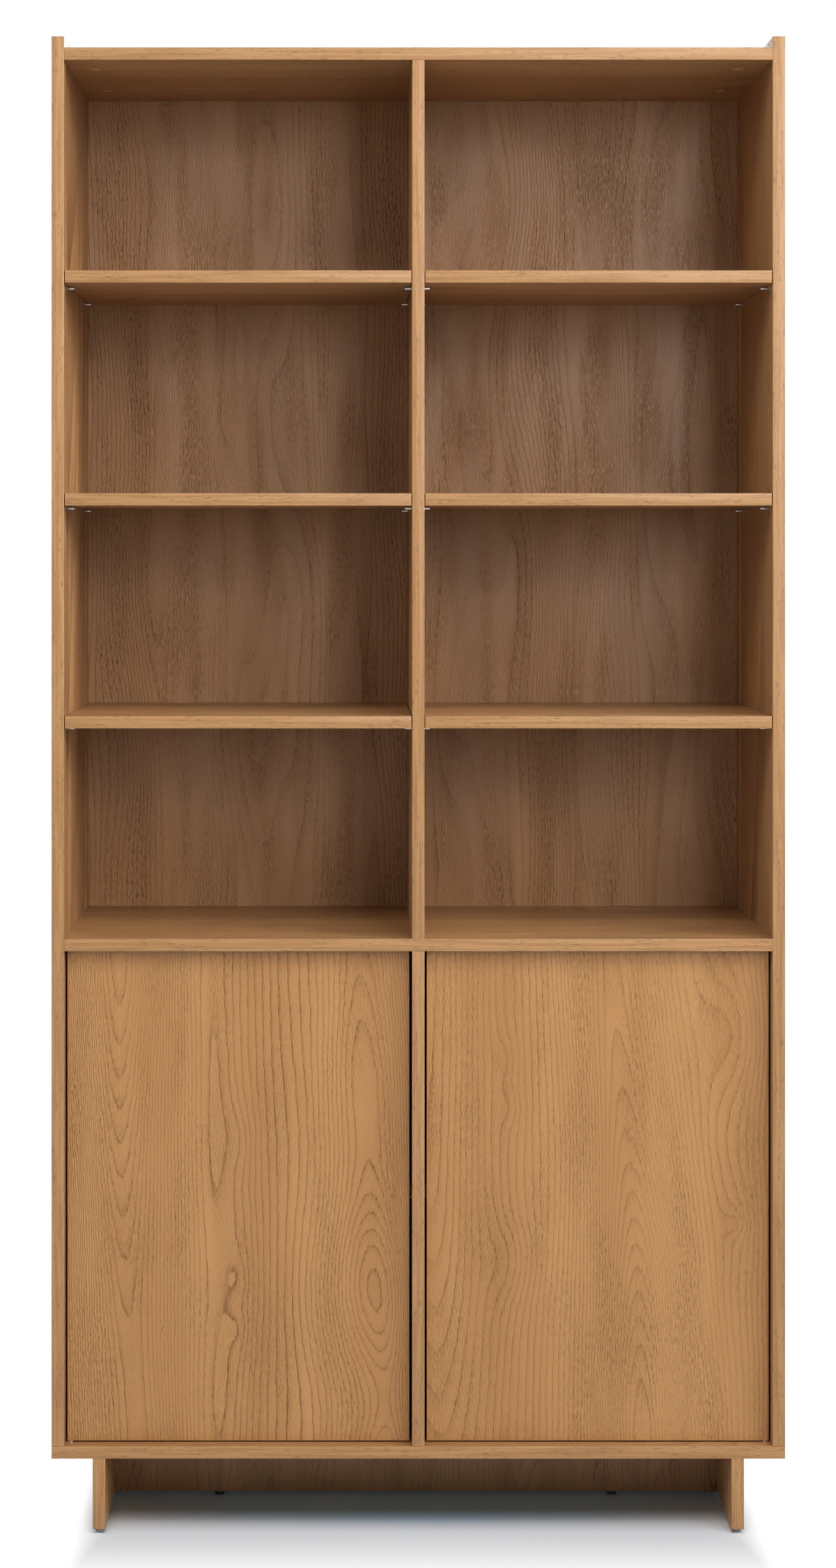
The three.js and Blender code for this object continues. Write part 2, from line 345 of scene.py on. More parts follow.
def noise(tree, kind, place, seed):
    """One of the print's soft noises, from 0 to 1."""
    across, along, shift, detail = NOISES[kind]
    seed += shift
    inputs = {"Vector": place, "Location": (seed, seed, 0), "Scale": (1 / across, 1 / along, 1.0)}
    mapped = add(tree, "Mapping", inputs)
    inputs = {"Vector": mapped, "Scale": 1.0, "Detail": detail, "Roughness": 0.5}
    return add(tree, "TexNoise", inputs, noise_dimensions="2D")


def blotches(tree, kind, place, seed):
    """One of the print's soft noises, over the range that counts."""
    return add(tree, "MapRange", (noise(tree, kind, place, seed), *RANGES[kind]), **EASED)


def bell(tree, square):
    """Falls from 1 towards 0, by the square of the distance from the middle."""
    minus = add(tree, "Math", (square, -1.0), operation="MULTIPLY")
    return add(tree, "Math", (minus,), operation="EXPONENT")


def swellings(tree, place, rings, slope, table):
    """Adds each swelling of a door's figure to the count of rings and to its slope."""
    for across, up, half_width, half_height, height in table:
        half_size = (half_width, half_height, 1)
        inputs = {"Vector": place, "Location": (across, up, 0), "Scale": half_size}
        near = add(tree, "Mapping", inputs, vector_type="TEXTURE")
        square = add(tree, "VectorMath", (near, near), operation="DOT_PRODUCT")
        swell = bell(tree, square.outputs["Value"])
        rings = add(tree, "Math", (swell, height, rings), operation="MULTIPLY_ADD")
        steepest = (-2 * height / half_width, -2 * height / half_height, 0)
        fall = add(tree, "VectorMath", (near, steepest), operation="MULTIPLY")
        fall = add(tree, "VectorMath", {0: fall, "Scale": swell}, operation="SCALE")
        slope = add(tree, "VectorMath", (slope, fall), operation="ADD")
    return rings, slope


def streaks(tree, across, tone, table):
    """Adds each light or dark streak to a door's tone: the wood's own streaks, and painted light
    at some edges where shade falls.
    """
    for middle, half_width, shift in table:
        inputs = (across, 1 / half_width, -middle / half_width)
        near = add(tree, "Math", inputs, operation="MULTIPLY_ADD")
        square = add(tree, "Math", (near, near), operation="MULTIPLY")
        tone = add(tree, "Math", (bell(tree, square), shift, tone), operation="MULTIPLY_ADD")
    return tone


def bend(tree, place, sideways, seed):
    """Moves the places of a print, as the grain of a real board strays.

    It sways over a hand's width and trembles over a few millimetres, and vessels that lie open
    along the board fray the arches.
    """
    sway = noise(tree, "sway", place, seed)
    swayed = add(tree, "Math", (sway, 2.0 * sideways, -sideways), operation="MULTIPLY_ADD")
    tremble = noise(tree, "tremble", place, seed)
    trembled = add(tree, "Math", (tremble, TREMBLE, swayed), operation="MULTIPLY_ADD")
    fray = noise(tree, "fray", place, seed)
    frayed = add(tree, "Math", (fray, FRAY, -FRAY / 2), operation="MULTIPLY_ADD")
    shift = add(tree, "CombineXYZ", {"X": trembled, "Y": frayed})
    return add(tree, "VectorMath", (place, shift), operation="ADD")


def landscape(tree, bent, axes, lie, seed):
    """The count of rings as a landscape, its slope, and the wave of its crests.

    The growth lines are its contours.
    """
    turn = 2 * math.pi / lie["spacing"]
    inputs = (axes["Y"], -lie["lean"] * turn, -lie["crest"] * turn)
    leaned = add(tree, "Math", inputs, operation="MULTIPLY_ADD")
    angle = add(tree, "Math", (axes["X"], turn, leaned), operation="MULTIPLY_ADD")
    wave = add(tree, "Math", (angle,), operation="COSINE")
    inputs = (wave, CREST_SHARPNESS, -CREST_SHARPNESS)
    climb = add(tree, "Math", inputs, operation="MULTIPLY_ADD")
    crest = add(tree, "Math", (climb,), operation="EXPONENT")
    rings = add(tree, "Math", (crest, lie["rings"], RINGS_BELOW), operation="MULTIPLY_ADD")
    hills = noise(tree, "hills", bent, seed)
    rings = add(tree, "Math", (hills, lie["hills"], rings), operation="MULTIPLY_ADD")
    sine = add(tree, "Math", (angle,), operation="SINE")
    steepest = -lie["rings"] * CREST_SHARPNESS * turn
    fall = add(tree, "Math", (sine, steepest), operation="MULTIPLY")
    fall = add(tree, "Math", (fall, crest), operation="MULTIPLY")
    slope = add(tree, "CombineXYZ", {"X": fall})
    rings, slope = swellings(tree, bent, rings, slope, lie.get("swellings", ()))
    slope = add(tree, "VectorMath", (slope,), operation="LENGTH").outputs["Value"]
    return rings, slope, wave


def oak_laminate(name, grain, figure, seed=0.0, tones=CASE_TONES):
    """Melamine board with a printed plain-sawn oak, pressed so that its pores are sunk.

    The eye sees warm tan wood with thin dark growth lines in arches and long straight runs,
    ragged and broken into short ticks, each with a pale lip where the embossing catches the light.
    """
    material, tree, shader = new_material(name)
    lie = FIGURES[figure]
    place = grain_place(tree, grain)
    if figure in nodes:
        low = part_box(figure)[0]
        corner = ((low.x + low.y) / MM, low.z / MM, 0)
        place = add(tree, "VectorMath", (place, corner), operation="SUBTRACT")
    bent = bend(tree, place, lie["sway"], seed)
    axes = add(tree, "SeparateXYZ", {"Vector": bent}).outputs
    rings, slope, wave = landscape(tree, bent, axes, lie, seed)

    # Where rings stand close a line takes more of the ring, so that it is drawn as wide.
    inputs = (slope, GROWTH_LINE_WIDTH, GROWTH_LINE_LEAST)
    share = add(tree, "Math", inputs, operation="MULTIPLY_ADD")
    phase = add(tree, "Math", (rings,), operation="FRACT")
    line = add(tree, "MapRange", (phase, 0.0, share, 1.0, 0.0), **EASED)
    tail = add(tree, "MapRange", (phase, *RANGES["tail"]), **EASED)

    # Pores: ticks about 1 mm wide and 8 mm long, drawn a little coarser than real ones so
    # that they show. They are scattered between the growth lines.
    along = add(tree, "SeparateXYZ", {"Vector": place}).outputs["Y"]
    pore_place = add(tree, "CombineXYZ", {"X": axes["X"], "Y": along})
    vessels = noise(tree, "vessels", pore_place, seed)
    coarse = blotches(tree, "coarse", place, seed)
    pores = add(tree, "MapRange", (vessels, *RANGES["pores"]), **EASED)
    pores = add(tree, "Math", (pores, coarse), operation="MULTIPLY")
    flank = add(tree, "MapRange", (slope, *RANGES["flank"]), **EASED)
    crowd = add(tree, "Math", (tail, TAIL_PORES, flank), operation="MULTIPLY_ADD")
    ticks = add(tree, "Math", (pores, crowd), operation="MULTIPLY")
    ticks = add(tree, "Math", (ticks, lie["ticks"]), operation="MULTIPLY")

    # A growth line is broken up along its way and fades in patches. It is darkest in the arches,
    # half as dark where rings stand close, and faintest where the landscape is level.
    breaks = blotches(tree, "breaks", pore_place, seed)
    inputs = (noise(tree, "fade", place, seed), *RANGES["fade"], lie["fade"])
    fade = add(tree, "MapRange", inputs, **EASED)
    fine = add(tree, "MapRange", (slope, *RANGES["fine"]), **EASED)
    level = add(tree, "MapRange", (slope, *RANGES["level"]), **EASED)
    broken = line
    for weaker in (breaks, fade, fine, level):
        broken = add(tree, "Math", (broken, weaker), operation="MULTIPLY")
    inputs = (broken, lie["lines"], ticks)
    sunk = add(tree, "Math", inputs, operation="MULTIPLY_ADD", use_clamp=True)
    inputs = (tail, TAIL_TONE, sunk)
    dark = add(tree, "Math", inputs, operation="MULTIPLY_ADD", use_clamp=True)

    # Colour: broad light and dark bands along the board, redder in the valleys of the figure.
    bands = blotches(tree, "bands", place, seed)
    clouds = blotches(tree, "clouds", place, seed)
    both = add(tree, "Math", (bands, clouds), operation="ADD")
    tone = add(tree, "Math", (both, 0.5), operation="MULTIPLY")
    # Streaks of the door's wood, and painted light that lightens some door edges where shade falls
    tone = streaks(tree, axes["X"], tone, lie.get("streaks", ()))
    heart = add(tree, "MapRange", (wave, *RANGES["heart"]), **EASED)
    colour = srgb(tones["low"])
    for share, other in ((tone, "high"), (heart, "heart"), (dark, "pore")):
        inputs = {"Factor": share, "A": colour, "B": srgb(tones[other])}
        colour = add(tree, "Mix", inputs, **COLOURS).outputs["Result"]

    # Satin melamine, a little duller in the sunk pores
    shine = add(tree, "MapRange", (sunk, *RANGES["shine"]), **EASED)
    dents = add(tree, "MapRange", (vessels, *RANGES["dents"]), **EASED)
    dents = add(tree, "Math", (dents, coarse), operation="MULTIPLY")
    pressed = add(tree, "Math", (line, LINE_DEPTH, dents), operation="MULTIPLY_ADD")
    height = add(tree, "Math", (1.0, pressed), operation="SUBTRACT")
    relief = add(tree, "Bump", {"Strength": 1.0, "Distance": PORE_DEPTH, "Height": height})
    inputs = {"Base Color": colour, "Roughness": shine, "IOR": 1.5, "Normal": relief}
    fill(tree, shader, inputs)
    return material


def edge_band(name, grain, seed=0.0):
    """ABS edging with a printed oak, plainer and straighter than on the faces.

    The eye sees fine broken dark ticks along soft streaks of 3 or 4 mm.
    """
    material, tree, shader = new_material(name)
    place = grain_place(tree, grain)
    soft = blotches(tree, "band_streaks", place, seed)
    ticks = blotches(tree, "band_ticks", place, seed)
    lulls = blotches(tree, "band_lulls", place, seed)
    broken = add(tree, "Math", (ticks, lulls), operation="MULTIPLY")
    dark = add(tree, "Math", (broken, BAND_DARKNESS), operation="MULTIPLY")
    colour = srgb(BAND_TONES["low"])
    for share, other in ((soft, "high"), (dark, "pore")):
        inputs = {"Factor": share, "A": colour, "B": srgb(BAND_TONES[other])}
        colour = add(tree, "Mix", inputs, **COLOURS).outputs["Result"]
    height = add(tree, "Math", (1.0, dark), operation="SUBTRACT")
    relief = add(tree, "Bump", {"Strength": 0.4, "Distance": BAND_PORE_DEPTH, "Height": height})
    inputs = {"Base Color": colour, "Roughness": 0.42, "IOR": 1.53, "Normal": relief}
    fill(tree, shader, inputs)
    return material


# The other finishes

FLAKE = 2.2 * MM
CLOUD = 140 * MM
FIBRE = 2.4 * MM
POLISHING_MARK = 0.8 * MM
MOULD_GRAIN = 0.5 * MM


def raw_chipboard():
    """Sawn chipboard where no band is glued on: pale and dark flakes of 1 to 3 mm, quite matt."""
    material, tree, shader = new_material("sawn_chipboard")
    place = add(tree, "TexCoord").outputs["Object"]
    inputs = {"Vector": place, "Scale": 1 / FLAKE, "Randomness": 1.0}
    flakes = add(tree, "TexVoronoi", inputs)
    shade = add(tree, "SeparateColor", {"Color": flakes.outputs["Color"]})
    tone = add(tree, "MapRange", (shade, 0.0, 1.0), **EASED)
    inputs = {"Factor": tone, "A": srgb("#8F6D46"), "B": srgb("#CDAE82")}
    colour = add(tree, "Mix", inputs, **COLOURS).outputs["Result"]
    relief = add(tree, "Bump", {"Strength": 0.5, "Distance": 0.3 * MM, "Height": tone})
    fill(tree, shader, {"Base Color": colour, "Roughness": 0.9, "Normal": relief})
    return material


def raw_hardboard():
    """The unprinted rear of a thin pressed fibreboard: even brown with fine flecks of fibre."""
    material, tree, shader = new_material("pressed_hardboard")
    place = add(tree, "TexCoord").outputs["Object"]
    clouds = add(tree, "TexNoise", {"Vector": place, "Scale": 1 / CLOUD, "Detail": 3.0})
    fibres = add(tree, "TexNoise", {"Vector": place, "Scale": 1 / FIBRE, "Detail": 4.0})
    both = add(tree, "Math", (clouds, 0.35, fibres), operation="MULTIPLY_ADD")
    tone = add(tree, "MapRange", (both, 0.35, 1.0), **EASED)
    inputs = {"Factor": tone, "A": srgb("#6F4D2F"), "B": srgb("#80593A")}
    colour = add(tree, "Mix", inputs, **COLOURS).outputs["Result"]
    relief = add(tree, "Bump", {"Strength": 0.3, "Distance": 0.1 * MM, "Height": fibres})
    fill(tree, shader, {"Base Color": colour, "Roughness": 0.75, "Normal": relief})
    return material


def plated_steel():
    """Steel with bright nickel plating: sharp reflections, a little uneven from polishing."""
    material, tree, shader = new_material("nickel_plated_steel")
    place = add(tree, "TexCoord").outputs["Object"]
    marks = add(tree, "TexNoise", {"Vector": place, "Scale": 1 / POLISHING_MARK, "Detail": 2.0})
    shine = add(tree, "MapRange", (marks, 0.3, 0.7, 0.16, 0.30), **EASED)
    fill(tree, shader, {"Base Color": srgb("#DAD9D5"), "Roughness": shine, "Metallic": 1.0})
    return material


def moulded_plastic(name, colours, roughness, ior):
    """Moulded plastic with the fine spark-eroded texture of its mould, which dulls its shine."""
    material, tree, shader = new_material(name)
    place = add(tree, "TexCoord").outputs["Object"]
    texture = add(tree, "TexNoise", {"Vector": place, "Scale": 1 / MOULD_GRAIN, "Detail": 2.0})
    inputs = {"Factor": texture, "A": srgb(colours[0]), "B": srgb(colours[1])}
    colour = add(tree, "Mix", inputs, **COLOURS).outputs["Result"]
    relief = add(tree, "Bump", {"Strength": 0.3, "Distance": 0.05 * MM, "Height": texture})
    inputs = {"Base Color": colour, "Roughness": roughness, "IOR": ior, "Normal": relief}
    fill(tree, shader, inputs)
    return material


OAK = {
    "Z": oak_laminate("oak_laminate_upright", "Z", "plain"),
    "X": oak_laminate("oak_laminate_level", "X", "plain", seed=31.0),
}
BAND = {
    "X": edge_band("oak_edge_band_level", "X", seed=47.0),
    "Y": edge_band("oak_edge_band_end", "Y", seed=71.0),
    "Z": edge_band("oak_edge_band_upright", "Z"),
}
DOOR_OAK = {
    door: oak_laminate(f"oak_laminate_{door}", "Z", door, seed=5.0, tones=DOOR_TONES)
    for door in ("left_door", "right_door")
}
BACK_OAK = oak_laminate("oak_print_back_panel", "Z", "back_panel", seed=63.0)
CHIPBOARD = raw_chipboard()
HARDBOARD = raw_hardboard()
NICKEL = plated_steel()
GREY_NYLON = moulded_plastic("grey_nylon", ("#7D8083", "#8B8E91"), roughness=0.45, ior=1.53)
BLACK_PLASTIC = moulded_plastic(
    "black_polypropylene", ("#131314", "#1E1E1F"), roughness=0.42, ior=1.49
)
CAP_PLASTIC = moulded_plastic(
    "oak_coloured_cover_cap", ("#B08152", "#B98A5A"), roughness=0.5, ior=1.5
)


# Boards

BAND_THICKNESS = 1.0 * MM
BAND_ROUNDING = 0.8 * MM
BAND_STEPS = 3
ARRIS = 0.25 * MM
SHORTEST_ARRIS = 5 * MM
WELD = 0.001 * MM
FLAT_ANGLE = math.radians(1)
SHARP_ANGLE = math.radians(35)

# Two directions count as one when the cosine between them is above this.
SQUARE_LIMIT = 0.9

SIDES = {
    "front": Vector((0, -1, 0)),
    "left": Vector((-1, 0, 0)),
    "right": Vector((1, 0, 0)),
    "bottom": Vector((0, 0, -1)),
    "top": Vector((0, 0, 1)),
}


def solid_copy(node):
    """The node's solid, welded and with its flat faces whole again."""
    mesh = bmesh.new()
    mesh.from_mesh(nodes[node].data)
    bmesh.ops.remove_doubles(mesh, verts=mesh.verts, dist=WELD)
    bmesh.ops.dissolve_limit(mesh, angle_limit=FLAT_ANGLE, verts=mesh.verts, edges=mesh.edges)
    return mesh


def keep_side(mesh, place, normal):
    """Cuts a closed mesh at a plane, keeps what lies against the normal and closes the cut."""
    parts = [*mesh.verts, *mesh.edges, *mesh.faces]
    bmesh.ops.bisect_plane(mesh, geom=parts, plane_co=place, plane_no=normal, clear_outer=True)
    rim = [edge for edge in mesh.edges if edge.is_boundary]
    bmesh.ops.holes_fill(mesh, edges=rim, sides=0)
    bmesh.ops.recalc_face_normals(mesh, faces=mesh.faces)


def arrises(mesh, wanted):
    """The straight square edges of a solid that pass a test."""
    found = []
    for edge in mesh.edges:
        if len(edge.link_faces) != 2 or edge.calc_length() < SHORTEST_ARRIS:
            continue
        one, other = (face.normal for face in edge.link_faces)
        if abs(one.dot(other)) < 1 - SQUARE_LIMIT and edge.is_convex and wanted(edge):
            found.append(edge)
    return found


def round_edges(mesh, edges, radius, segments):
    """Rounds edges, or only breaks them where there is a single segment."""
    bmesh.ops.bevel(
        mesh,
        geom=edges,
        offset=radius,
        offset_type="OFFSET",
        segments=segments,
        profile=0.5,
        affect="EDGES",
        clamp_overlap=True,
    )


def new_object(name, mesh, materials):
    """Turns a mesh into an object of the scene."""
    data = bpy.data.meshes.new(name)
    mesh.to_mesh(data)
    mesh.free()
    for material in materials:
        data.materials.append(material)
    made = bpy.data.objects.new(name, data)
    scene.collection.objects.link(made)
    return made


def make_piece(name, mesh, materials, body):
    """Turns a mesh into a piece that rides on a body."""
    piece = new_object(name, mesh, materials)
    piece.data.shade_smooth()
    piece.data.set_sharp_from_angle(angle=SHARP_ANGLE)
    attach(piece, body)
    return piece


def board(node, face_oak, banded, body="case"):
    """Dresses one board: glued edge bands, laminated faces, and sawn chipboard elsewhere."""
    low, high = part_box(node)
    size = high - low
    core = solid_copy(node)
    cuts = []
    for side in banded:
        outward = SIDES[side]
        plane = (high if sum(outward) > 0 else low) - outward * BAND_THICKNESS
        cuts.append((plane, outward))
        strip = core.copy()
        keep_side(strip, plane, -outward)
        keep_side(core, plane, outward)

        def on_the_outside(edge):
            return max(face.normal.dot(outward) for face in edge.link_faces) > SQUARE_LIMIT

        round_edges(strip, arrises(strip, on_the_outside), BAND_ROUNDING, BAND_STEPS)
        flat = [axis for axis in range(3) if not outward[axis]]
        grain = "XYZ"[max(flat, key=lambda axis: size[axis])]
        make_piece(f"{node}_{side}_band", strip, [BAND[grain]], body)
    thin = min(range(3), key=lambda axis: size[axis])
    for face in core.faces:
        face.material_index = 0 if abs(face.normal[thin]) > SQUARE_LIMIT else 1

    def clear_of_bands(edge):
        middle = sum((vertex.co for vertex in edge.verts), Vector()) / 2
        return all(abs((middle - plane).dot(outward)) >= WELD for plane, outward in cuts)

    round_edges(core, arrises(core, clear_of_bands), ARRIS, 1)
    piece = make_piece(f"{node}_board", core, [face_oak, CHIPBOARD], body)
    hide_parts(node)


for hand in HANDS:
    board(f"{hand}_side_panel", OAK["Z"], ["front", "top"])
    board(f"{hand}_leg_panel", OAK["Z"], ["front"])
    door = f"{hand}_door"
    board(door, DOOR_OAK[door], ["left", "right", "bottom", "top"], door)
    for level in ("cabinet", "lower", "middle", "upper"):
        board(f"{hand}_{level}_shelf", OAK["X"], ["front"])
for name in ("upper_divider", "lower_divider"):
    board(name, OAK["Z"], ["front"])
for name in ("top_panel", "fixed_shelf"):
    board(name, OAK["X"], ["front"])
board("bottom_panel", OAK["X"], ["front", "left", "right"])
board("cross_rail", OAK["Z"], [])


def back_panel(node):
    """Thin fibreboard in the grooves of the case: printed in front, bare behind."""
    sheet = solid_copy(node)
    for face in sheet.faces:
        face.material_index = 0 if face.normal.y < -SQUARE_LIMIT else 1
    piece = make_piece(f"{node}_sheet", sheet, [BACK_OAK, HARDBOARD], "case")
    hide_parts(node)


back_panel("upper_back_panel")
back_panel("lower_back_panel")


# Turned pieces

ROUND_STEPS = 40
CORNER_STEPS = 4


def turned(profile, place, direction):
    """A solid of revolution: the profile is radius and height, and it stands along direction."""
    mesh = bmesh.new()
    rings = []
    for radius, height in profile:
        ring = []
        for step in range(ROUND_STEPS if radius else 1):
            angle = 2 * math.pi * step / ROUND_STEPS
            spot = (radius * math.cos(angle), radius * math.sin(angle), height)
            ring.append(mesh.verts.new(spot))
        rings.append(ring)
    for lower, upper in zip(rings, rings[1:]):
        for step in range(ROUND_STEPS):
            following = (step + 1) % ROUND_STEPS
            corners = [lower[step % len(lower)], lower[following % len(lower)]]
            corners += [upper[following % len(upper)], upper[step % len(upper)]]
            unique = list(dict.fromkeys(corners))
            if len(unique) > 2:
                mesh.faces.new(unique)
    bmesh.ops.recalc_face_normals(mesh, faces=mesh.faces)
    turn = Vector((0, 0, 1)).rotation_difference(Vector(direction)).to_matrix().to_4x4()
    mesh.transform(Matrix.Translation(place) @ turn)
    return mesh


def rounded_corner(radius, height, rounding):
    """Profile points of a quarter round from a flat end out to a wall, below height."""
    points = []
    for step in range(CORNER_STEPS + 1):
        angle = math.pi / 2 * step / CORNER_STEPS
        across = radius - rounding + rounding * math.sin(angle)
        points.append((across, height - rounding + rounding * math.cos(angle)))
    return points


PIN_ROUNDING = 0.8 * MM


def shelf_pin(node):
    """A nickel-plated pin with rounded ends, in place of the faceted solid."""
    low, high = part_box(node)
    radius = (high.z - low.z) / 2
    length = high.x - low.x
    upper = rounded_corner(radius, length / 2, PIN_ROUNDING)
    lower = [(across, -height) for across, height in upper]
    profile = [(0, -length / 2), *lower, *reversed(upper), (0, length / 2)]
    mesh = turned(profile, (low + high) / 2, (1, 0, 0))
    piece = make_piece(f"{node}_turned", mesh, [NICKEL], "case")
    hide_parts(node)


for name in sorted(nodes):
    if name.endswith("_pin"):
        shelf_pin(name)


def standing_foot(node, profile, material):
    """A glide or a levelling foot, turned to a profile and standing on the floor."""
    low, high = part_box(node)
    base = Vector(((low.x + high.x) / 2, (low.y + high.y) / 2, low.z))
    mesh = turned([(radius * MM, height * MM) for radius, height in profile], base, (0, 0, 1))
    piece = make_piece(f"{node}_turned", mesh, [material], "case")
    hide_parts(node)


# Radius and height in millimetres, from the floor up to the end of the stem
GLIDE_PROFILE = (
    (0, 0), (4.4, 0), (5.1, 0.3), (5.5, 1.0), (5.5, 6),
    (2, 6), (2, 19.2), (1.2, 20), (0, 20),
)
FOOT_PROFILE = (
    (0, 0), (5.6, 0), (6.7, 0.4), (7.3, 1.2), (7.5, 2.2), (7.5, 3.6), (7.0, 4.3),
    (5, 6), (3, 6), (3, 27.2), (2.2, 28), (0, 28),
)

for hand in HANDS:
    for end in ("front", "rear"):
        standing_foot(f"{hand}_leg_{end}_glide", GLIDE_PROFILE, GREY_NYLON)
    standing_foot(f"{hand}_levelling_foot", FOOT_PROFILE, BLACK_PLASTIC)


# Cover caps of the cam locks, on the undersides of the top panel and the fixed shelf

CAP_RADIUS = 8.5 * MM
CAP_THICKNESS = 1.3 * MM
CAP_ROUNDING = 0.9 * MM
CAP_INSET = 37 * MM
CAP_SETBACKS = {"front": 78 * MM, "rear": 267 * MM}


def cover_cap(name, place):
    """A thin round plastic cap, pressed over a cam lock."""
    corner = rounded_corner(CAP_RADIUS, CAP_THICKNESS, CAP_ROUNDING)
    profile = [(0, CAP_THICKNESS), *corner, (CAP_RADIUS, 0), (0, 0)]
    mesh = turned(profile, place, (0, 0, -1))
    make_piece(name, mesh, [CAP_PLASTIC], "case")


for panel in ("top_panel", "fixed_shelf"):
    low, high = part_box(panel)
    for hand, x in (("left", low.x + CAP_INSET), ("right", high.x - CAP_INSET)):
        for end, setback in CAP_SETBACKS.items():
            place = Vector((x, case_front + setback, low.z))
            cover_cap(f"{panel}_{hand}_{end}_cap", place)


# CAD pieces that keep their own shape

SMALL_BEVEL = 0.4 * MM
SMALL_BEVEL_STEPS = 2
SMALL_BEVEL_ANGLE = math.radians(50)

for name, material in {
    "push_latch_housing": GREY_NYLON,
    "push_latch_plunger": BLACK_PLASTIC,
    "door_lower_pivot": NICKEL,
    "door_upper_pivot": NICKEL,
}.items():
    for hand in HANDS:
        part = nodes[f"{hand}_{name}"]
        part.data.materials.clear()
        part.data.materials.append(material)
        bevel = part.modifiers.new("moulded_edges", "BEVEL")
        bevel.width = SMALL_BEVEL
        bevel.segments = SMALL_BEVEL_STEPS
        bevel.limit_method = "ANGLE"
        bevel.angle_limit = SMALL_BEVEL_ANGLE


# Floor

FLOOR_SIZE = 60.0

# Beside and in front of the case the floor is washed out to white between these distances.
WHITE_BESIDE = (0.450, 0.505)
WHITE_IN_FRONT = (0.185, 0.425)
WHITE_STRENGTH = 1.05

# Half the size of the painted shade under the case, a darker and bluer floor, and where it ends as
# a share of that
PAINTED_SHADE_HALF_SIZE = (0.5, 0.13, 1)
PAINTED_SHADE_END = (0.8, 1.4)


def studio_floor():
    """A pale painted floor that runs out into the white of the room, with a painted shade under
    the case.
    """
    material, tree, shader = new_material("painted_studio_floor")
    place = add(tree, "TexCoord").outputs["Object"]
    soft = add(tree, "TexNoise", {"Vector": place, "Scale": 0.8})
    inputs = {"Factor": soft, "A": srgb("#ECF1F7"), "B": srgb("#EFF4FA")}
    paint = add(tree, "Mix", inputs, **COLOURS).outputs["Result"]
    # Painted shade: the floor under the case is darker and bluer, and fades back to the paint at
    # the patch's end
    inputs = {"Vector": place, "Scale": PAINTED_SHADE_HALF_SIZE}
    under = add(tree, "Mapping", inputs, vector_type="TEXTURE")
    under = add(tree, "VectorMath", (under,), operation="LENGTH").outputs["Value"]
    beyond_painted_shade = add(tree, "MapRange", (under, *PAINTED_SHADE_END), **EASED)
    inputs = {"Factor": beyond_painted_shade, "A": srgb("#BCE2FF"), "B": paint}
    colour = add(tree, "Mix", inputs, **COLOURS).outputs["Result"]
    fill(tree, shader, {"Base Color": colour, "Roughness": 0.6, "Specular IOR Level": 0.1})
    away = add(tree, "VectorMath", (place,), operation="ABSOLUTE")
    away = add(tree, "SeparateXYZ", {"Vector": away}).outputs
    beside = add(tree, "MapRange", (away["X"], *WHITE_BESIDE), **EASED)
    in_front = add(tree, "MapRange", (away["Y"], *WHITE_IN_FRONT), **EASED)
    far = add(tree, "Math", (beside, in_front), operation="MAXIMUM")
    seen = add(tree, "LightPath").outputs["Is Camera Ray"]
    share = add(tree, "Math", (far, seen), operation="MULTIPLY")
    white = add(tree, "Emission", {"Color": srgb("#FFFFFF"), "Strength": WHITE_STRENGTH})
    mixed = add(tree, "MixShader", (share, shader, white))
    fill(tree, tree.nodes["Material Output"], {"Surface": mixed})
    mesh = bmesh.new()
    bmesh.ops.create_grid(mesh, x_segments=1, y_segments=1, size=FLOOR_SIZE / 2)
    floor = new_object("studio_floor", mesh, [material])
    floor.location.z = cad_low.z


studio_floor()


# Light

off_the_floor = bpy.data.collections.new("off_the_floor")
for name in ("studio_floor", "cross_rail_board"):
    off_the_floor.objects.link(bpy.data.objects[name])
for shaded in off_the_floor.collection_objects:
    shaded.light_linking.link_state = "EXCLUDE"
on_the_floor = bpy.data.collections.new("on_the_floor")
on_the_floor.objects.link(bpy.data.objects["studio_floor"])


def soft_box(name, place, aim, width, height, power, lit=None, beam=180):
    """A rectangular studio light that points at a place.

    Flags may limit what is lit by it, and a grid may narrow its beam to fewer degrees.
    """
    light = bpy.data.lights.new(name, "AREA")
    light.shape = "RECTANGLE"
    light.size = width
    light.size_y = height
    light.energy = power
    light.spread = math.radians(beam)
    holder = bpy.data.objects.new(name, light)
    holder.location = place
    holder.rotation_euler = (Vector(aim) - Vector(place)).to_track_quat("-Z", "Y").to_euler()
    if lit:
        holder.light_linking.receiver_collection = lit
    scene.collection.objects.link(holder)


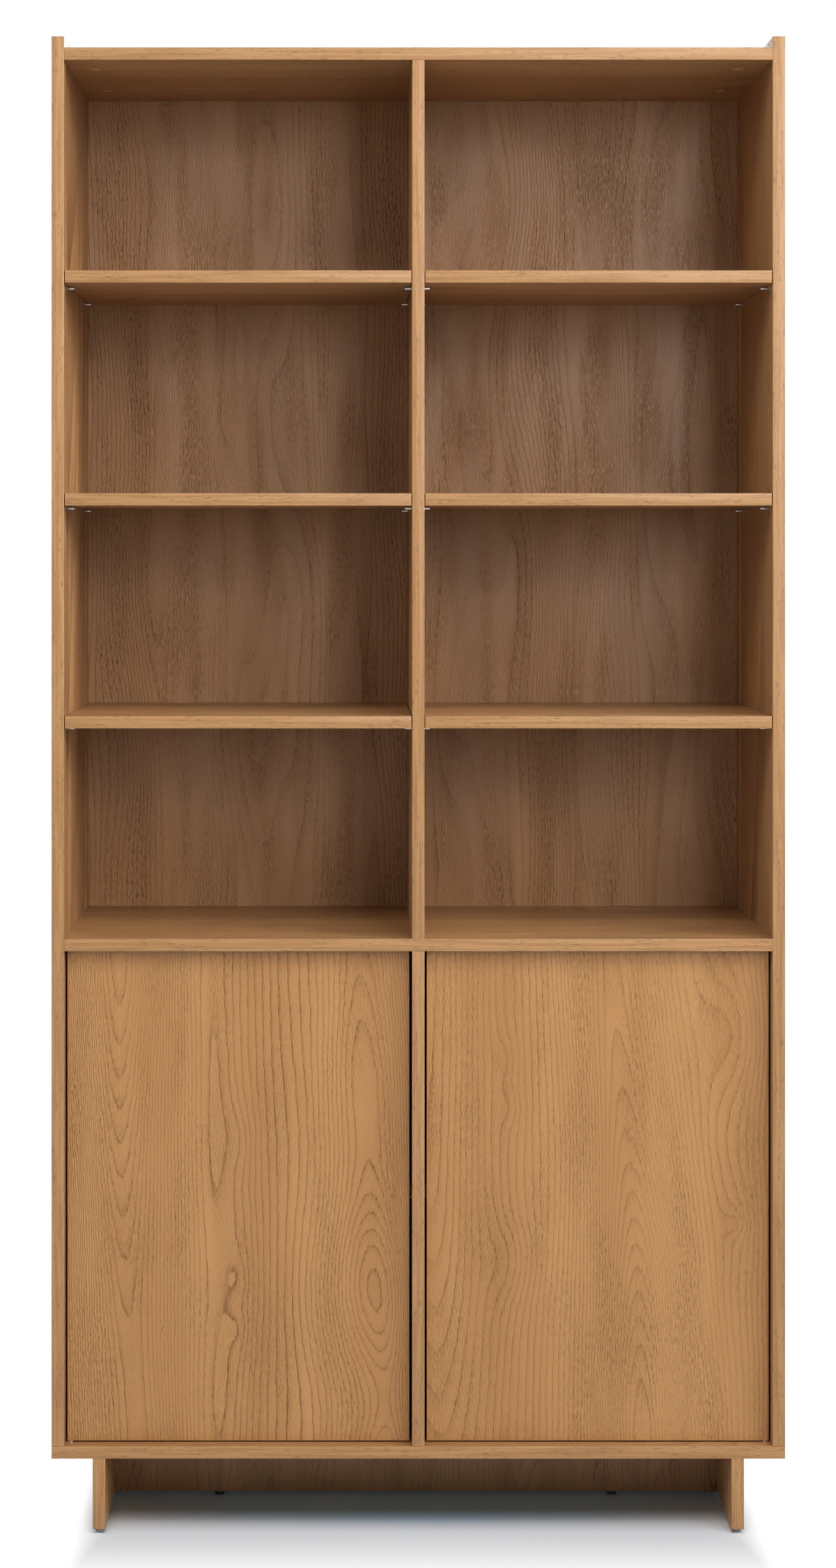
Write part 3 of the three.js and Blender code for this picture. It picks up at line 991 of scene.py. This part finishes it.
# Soft boxes on stands round the front: degrees to the right of straight on, degrees up, size,
# power, and the pieces lit by it where flags keep its light off the rest.
STAND_DISTANCE = 7.5
STAND_AIM = Vector((0, 0, 1.2))
STANDS = {
    "key_soft_box": (50, 48, 2.7, 60, None),
    "side_soft_box": (63, 34, 3.0, 200, off_the_floor),
    "front_soft_box": (32, 24, 2.7, 120, off_the_floor),
    "low_left_soft_box": (-30, 14, 2.7, 29, off_the_floor),
    "left_fill": (-65, 24, 2.7, 124, off_the_floor),
}
for name, (right, up, size, power, lit) in STANDS.items():
    right, up = math.radians(right), math.radians(up)
    reach = STAND_DISTANCE * math.cos(up)
    rise = STAND_DISTANCE * math.sin(up)
    place = STAND_AIM + Vector((reach * math.sin(right), -reach * math.cos(right), rise))
    soft_box(name, place, STAND_AIM, size, size, power, lit)

# A tall box by the camera throws the side panel's and the divider's upright shadows on the backs
# of the bays. Three banks hang overhead and point down in front of the case, at the floor before
# it and at the floor behind it, and one behind the case lights its rear. Each has its place, aim,
# width and height, power, and the pieces lit.
BANKS = {
    "tall_soft_box": ((1.42, -5.5, 2.5), (0, 0, 1.3), (0.95, 2.0), 65, off_the_floor),
    "front_bank": ((0, -3.2, 4.6), (0, -3.2, 0), (3.0, 2.0), 88, None),
    "floor_bank": ((0, -1.4, 4.2), (0, -1.2, 0), (4.0, 2.0), 75, on_the_floor),
    "far_floor_bank": ((0, 3.0, 4.2), (0, 0.6, 0), (4.0, 2.0), 150, on_the_floor),
    "rear_bank": ((0.6, 4.8, 1.9), (0, 0.2, 1.1), (2.4, 2.4), 150, off_the_floor),
}
for name, (place, aim, size, power, lit) in BANKS.items():
    soft_box(name, place, aim, *size, power, lit)

# A gridded box on the right at the case's top, which lights its upper bays most
soft_box(
    "top_side_soft_box",
    place=(4.36, -2.13, 3.21),
    aim=(0, 0, 2.0),
    width=1.8,
    height=2.4,
    power=6,
    lit=off_the_floor,
    beam=30,
)

# The camera sees a pure white room, whose sheen lies on the satin boards, and the case gets
# only a little other light from it.
ROOM_WHITE = 1.06
ROOM_SHEEN = 0.5
ROOM_FILL = 0.13

world = bpy.data.worlds.new("white_studio")
world.use_nodes = True
room = world.node_tree
rays = add(room, "LightPath").outputs
strength = ROOM_FILL
for ray, brightness in (("Is Glossy Ray", ROOM_SHEEN), ("Is Camera Ray", ROOM_WHITE)):
    inputs = (rays[ray], brightness - ROOM_FILL, strength)
    strength = add(room, "Math", inputs, operation="MULTIPLY_ADD")
fill(room, room.nodes["Background"], {"Color": (1, 1, 1, 1), "Strength": strength})
world.cycles.sampling_method = "NONE"
scene.world = world
scene.view_settings.view_transform = "Standard"
scene.cycles.use_denoising = True
scene.cycles.filter_width = 1.0
